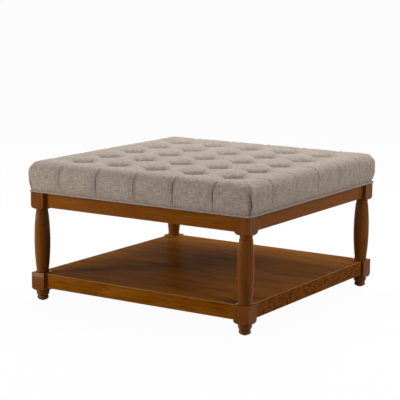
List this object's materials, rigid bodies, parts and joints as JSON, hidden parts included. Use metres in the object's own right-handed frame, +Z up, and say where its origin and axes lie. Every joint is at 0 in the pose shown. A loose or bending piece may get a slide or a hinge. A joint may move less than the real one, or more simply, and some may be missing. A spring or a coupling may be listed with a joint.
{
  "type": "ottoman coffee table",
  "caption": "Square upholstered coffee table: a grid-tufted linen cushion with piping on turned wooden legs, plain aprons and a thick board shelf near the floor",
  "frame": {"origin": "on the floor under the middle of the table", "axes": "+Z up, -Y to the front, +X to the right; the shelf's boards run along X"},
  "size_m": [0.874, 0.874, 0.4798],
  "materials": {
    "stained_wood": "satin-gloss lacquer over a warm brown stain",
    "softwood": "plain planed pine",
    "plywood": "raw birch plywood",
    "zinc_plated_steel": "bright zinc plating",
    "linen_cloth": "woven linen-look upholstery cloth",
    "seat_foam": "cut foam",
    "dust_cloth": "thin black non-woven cloth",
    "tufting_twine": "waxed twine",
    "glide_plastic": "matt"
  },
  "bodies": {
    "root": {"leg_front_right": "stained_wood", "glide_front_right": "glide_plastic", "corner_plate_front_right": "zinc_plated_steel", "leg_back_right": "stained_wood", "glide_back_right": "glide_plastic", "corner_plate_back_right": "zinc_plated_steel", "leg_back_left": "stained_wood", "glide_back_left": "glide_plastic", "corner_plate_back_left": "zinc_plated_steel", "leg_front_left": "stained_wood", "glide_front_left": "glide_plastic", "corner_plate_front_left": "zinc_plated_steel", "apron_front": "stained_wood", "seat_cleat_front": "softwood", "apron_right": "stained_wood", "seat_cleat_right": "softwood", "apron_back": "stained_wood", "seat_cleat_back": "softwood", "apron_left": "stained_wood", "seat_cleat_left": "softwood", "shelf_board_1": "stained_wood", "shelf_board_2": "stained_wood", "shelf_board_3": "stained_wood", "shelf_board_4": "stained_wood", "shelf_board_5": "stained_wood", "shelf_board_6": "stained_wood", "upper_hanger_bolts": "zinc_plated_steel", "upper_washers": "zinc_plated_steel", "upper_nuts": "zinc_plated_steel", "shelf_hanger_bolts": "zinc_plated_steel", "shelf_half_moons": "zinc_plated_steel", "shelf_nuts": "zinc_plated_steel", "seat_screws": "zinc_plated_steel", "seat_deck": "plywood", "foam_slab": "seat_foam", "tufted_cushion": "linen_cloth", "welt_cord": "linen_cloth", "dust_cover": "dust_cloth", "tuft_buttons": "linen_cloth", "tuft_twines": "tufting_twine"}
  },
  "joints": []
}
